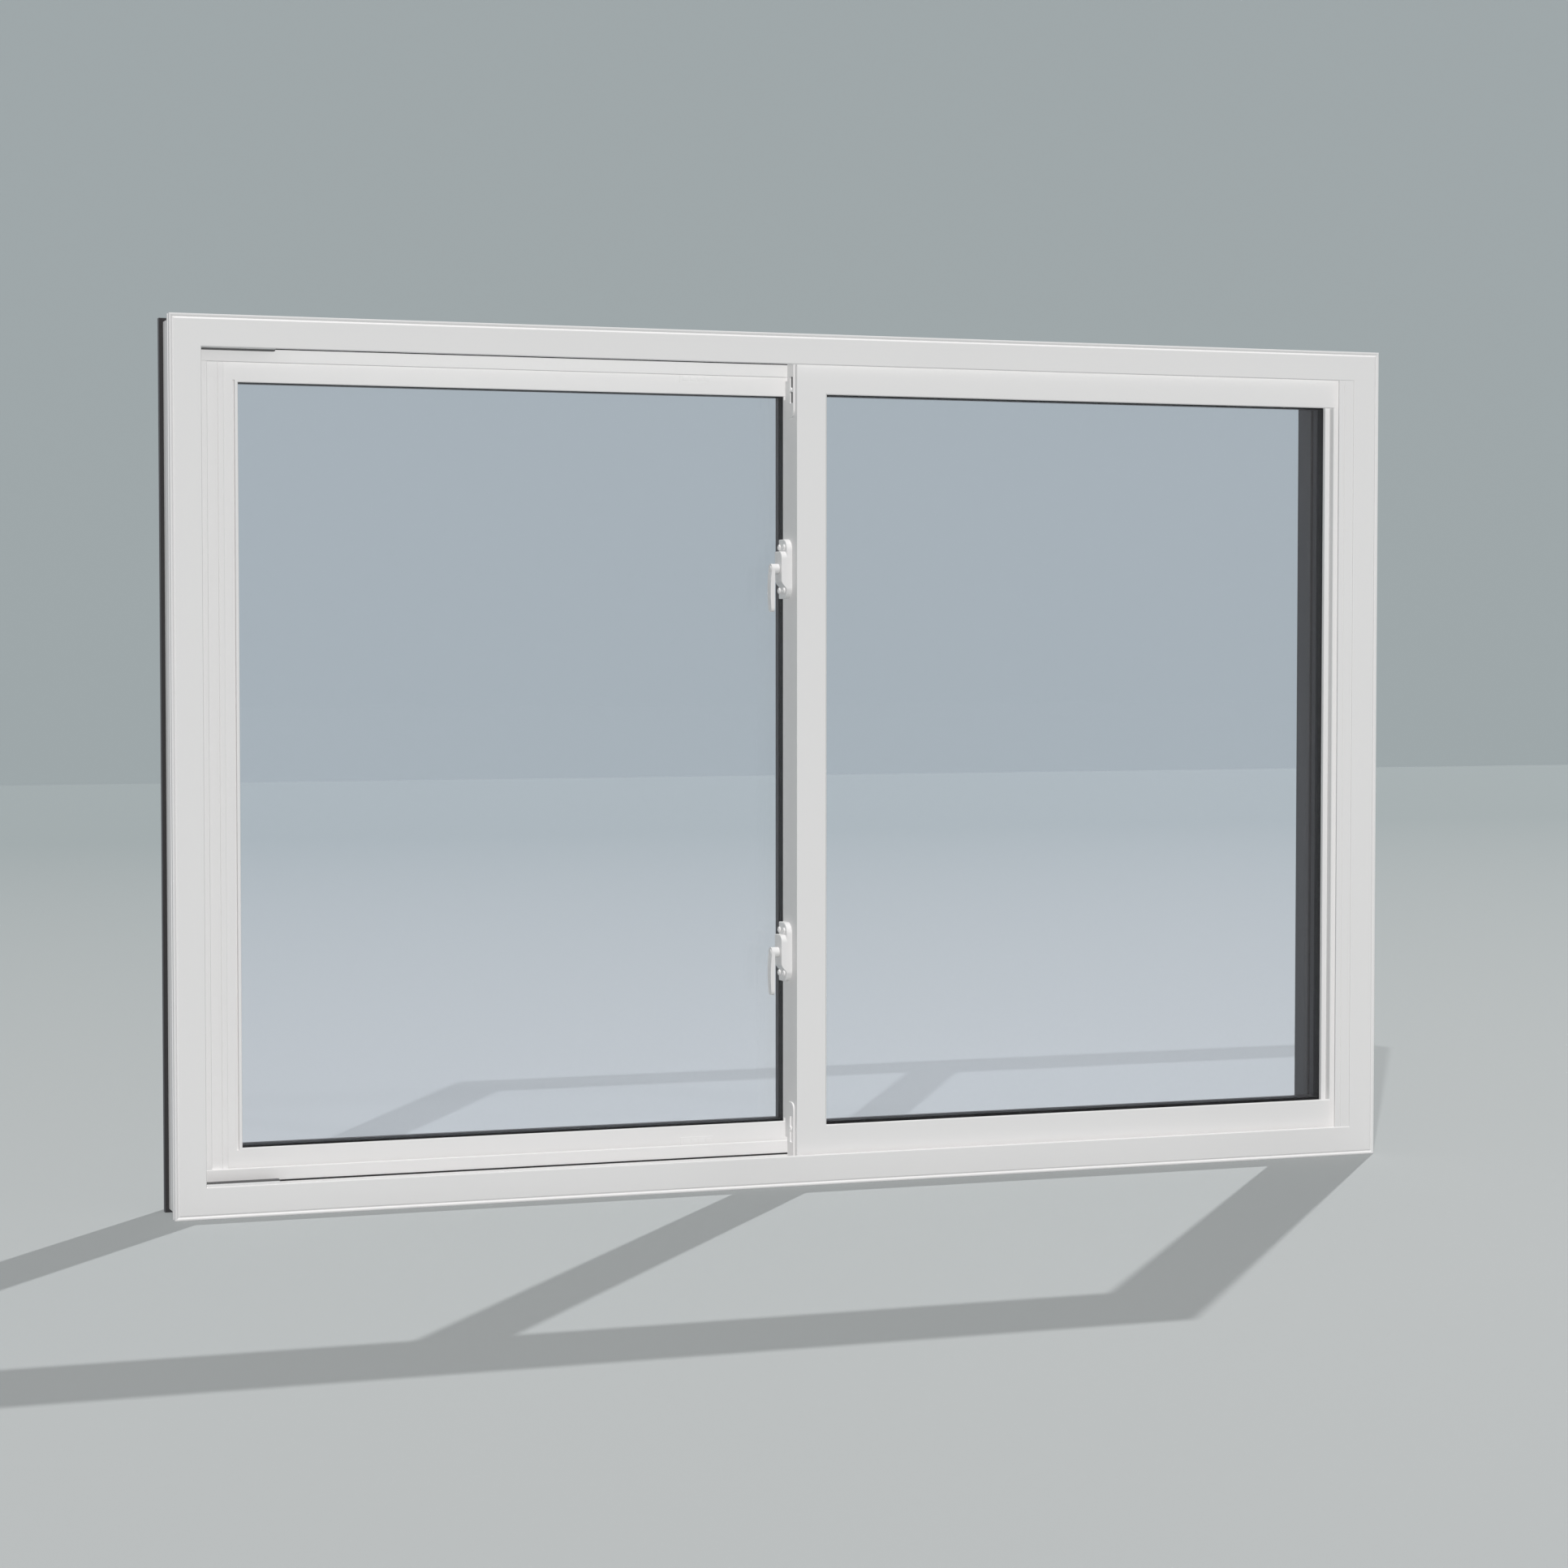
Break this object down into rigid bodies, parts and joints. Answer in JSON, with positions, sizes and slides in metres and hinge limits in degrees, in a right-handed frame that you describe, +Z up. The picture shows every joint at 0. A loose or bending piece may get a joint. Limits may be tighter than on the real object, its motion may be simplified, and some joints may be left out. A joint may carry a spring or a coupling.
{
  "type": "horizontal sliding window",
  "caption": "Horizontal sliding window: a fixed glazed sash beside one that slides behind the face of a white frame, with lever locks on the meeting stile and dark cladding outside.",
  "frame": {"origin": "under the middle of the sill, at the middle of the frame's depth", "axes": "+X along the width, towards the sliding bay; +Y from the room to the outside; +Z up"},
  "size_m": [1.831, 0.115, 1.219],
  "materials": {
    "white_profile": "satin white, faintly grained",
    "dark_cladding": "dark satin paint",
    "black_seal": "matt black",
    "black_spacer": "matt black",
    "clear_glass": "clear, faint cool tint",
    "metal_rail": "drawn",
    "grey_block": "moulded grey",
    "roller_plastic": "moulded",
    "white_lock": "satin white paint"
  },
  "bodies": {
    "frame": {"head": "white_profile", "sill": "white_profile", "left_jamb": "white_profile", "right_jamb": "white_profile", "head_cladding": "dark_cladding", "sill_cladding": "dark_cladding", "left_cladding": "dark_cladding", "right_cladding": "dark_cladding", "head_track_cover": "white_profile", "sill_track_cover": "white_profile", "left_track_cover": "white_profile", "right_track_cover": "white_profile", "head_seal": "black_seal", "sill_seal": "black_seal", "roller_rail": "metal_rail", "left_liner": "white_profile", "right_liner": "white_profile", "sill_stop_block": "grey_block", "head_stop_block": "grey_block", "head_screen_track": "dark_cladding", "sill_screen_track": "dark_cladding", "jamb_screen_track": "dark_cladding", "fixed_top_rail": "white_profile", "fixed_bottom_rail": "white_profile", "fixed_left_stile": "white_profile", "fixed_meeting_stile": "white_profile", "fixed_outer_stops": "dark_cladding", "fixed_inner_pane": "clear_glass", "fixed_outer_pane": "clear_glass", "fixed_spacer": "black_spacer", "fixed_top_clip": "white_profile", "fixed_bottom_clip": "white_profile"},
    "sash": {"sash_top_rail": "white_profile", "sash_bottom_rail": "white_profile", "sash_meeting_stile": "white_profile", "sash_right_stile": "white_profile", "sash_outer_stops": "dark_cladding", "sash_inner_pane": "clear_glass", "sash_outer_pane": "clear_glass", "sash_spacer": "black_spacer", "sash_top_end_plate": "white_profile", "sash_bottom_end_plate": "white_profile", "sash_rollers": "roller_plastic", "upper_lock_base": "white_lock", "lower_lock_base": "white_lock"},
    "upper_lever": {"upper_lock_lever": "white_lock"},
    "lower_lever": {"lower_lock_lever": "white_lock"}
  },
  "joints": [
    {"name": "sash_slide", "type": "slide", "parent": "frame", "child": "sash", "axis": [-1, 0, 0], "range_m": [0, 0.731]},
    {"name": "upper_lever_turn", "type": "hinge", "parent": "sash", "child": "upper_lever", "pos_m": [-0.0349, -0.0095, 0.8855], "axis": [-1, 0, 0], "range_deg": [0, 180]},
    {"name": "lower_lever_turn", "type": "hinge", "parent": "sash", "child": "lower_lever", "pos_m": [-0.0349, -0.0095, 0.3335], "axis": [-1, 0, 0], "range_deg": [0, 180]}
  ]
}
